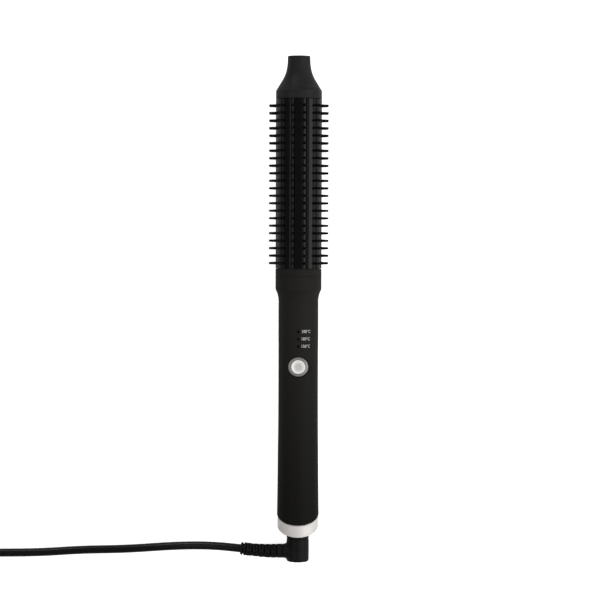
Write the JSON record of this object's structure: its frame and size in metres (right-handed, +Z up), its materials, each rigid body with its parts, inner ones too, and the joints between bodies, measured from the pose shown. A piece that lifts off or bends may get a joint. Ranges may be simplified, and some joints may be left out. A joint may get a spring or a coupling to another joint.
{
  "type": "hot brush",
  "caption": "Round heated styling brush: black barrel with bristle combs, tapered cool tip, slim handle with push button and lights, slanted metal end ring, right-angled swivel cord with plug.",
  "frame": {"origin": "centre of the bottom of the brush's bounding box, cord and plug left out, on the table it lies on", "axes": "+Y along the brush towards its cool tip, +Z up, button side up; the cord leaves towards -X"},
  "size_m": [0.3486, 0.3526, 0.0454],
  "materials": {
    "barrel_coating": "gloss black",
    "bristles": "satin black",
    "soft_grip": "soft-touch matt black",
    "satin_black": "satin black",
    "brushed_metal": "brushed",
    "grey_metal": "satin",
    "bare_aluminium": "plain",
    "heater_film": "matt",
    "barrier_plastic": "matt",
    "sensor_coating": "matt",
    "fuse_case": "plain",
    "board": "satin green",
    "component": "matt black",
    "capacitor_case": "gloss",
    "switch_white": "matt",
    "light_guide": "smoked clear",
    "brass": "plain",
    "spring_steel": "plain",
    "cord_rubber": "satin black",
    "tie_fabric": "hook and loop, black",
    "plug_plastic": "satin black",
    "wire_live": "brown",
    "wire_neutral": "blue"
  },
  "bodies": {
    "brush": {"cool_tip": "satin_black", "upper_end_ring": "satin_black", "barrel": "barrel_coating", "bristle_comb_01": "bristles", "bristle_comb_02": "bristles", "bristle_comb_03": "bristles", "bristle_comb_04": "bristles", "bristle_comb_05": "bristles", "bristle_comb_06": "bristles", "bristle_comb_07": "bristles", "bristle_comb_08": "bristles", "bristle_comb_09": "bristles", "bristle_comb_10": "bristles", "bristle_comb_11": "bristles", "bristle_comb_12": "bristles", "lower_end_ring": "satin_black", "heat_spreader_front": "bare_aluminium", "heat_spreader_rear": "bare_aluminium", "heater_plate": "heater_film", "thermistor": "sensor_coating", "thermal_fuse": "fuse_case", "heat_barrier": "barrier_plastic", "heater_lead_live": "wire_live", "heater_lead_neutral": "wire_neutral", "handle_front_shell": "soft_grip", "handle_rear_shell": "soft_grip", "slanted_end_ring": "brushed_metal", "button_bezel": "grey_metal", "push_switch": "component", "light_guide": "light_guide", "control_board": "board", "triac": "component", "film_capacitor": "capacitor_case", "end_bush": "component", "contact_spring_live": "brass", "contact_spring_neutral": "brass", "supply_lead_live": "wire_live", "supply_lead_neutral": "wire_neutral"},
    "button": {"power_button": "brushed_metal", "switch_plunger": "switch_white"},
    "cord_swivel": {"swivel_boot": "cord_rubber", "swivel_clip": "spring_steel", "slip_ring_live": "brass", "slip_ring_neutral": "brass", "strain_relief": "cord_rubber", "cord_lead": "cord_rubber", "cord_coil": "cord_rubber", "cord_tie": "tie_fabric", "plug_body": "plug_plastic", "plug_pin_live": "brass", "plug_pin_neutral": "brass"}
  },
  "joints": [
    {"name": "button_push", "type": "slide", "parent": "brush", "child": "button", "axis": [0, 0.0367, -0.9993], "range_m": [0, 0.0006], "stiffness_N_per_m": 1500, "springref_m": -0.0004},
    {"name": "cord_turn", "type": "hinge", "parent": "brush", "child": "cord_swivel", "pos_m": [0, -0.12636, 0.0149], "axis": [0, 0.9993, 0.0367], "continuous": true}
  ]
}
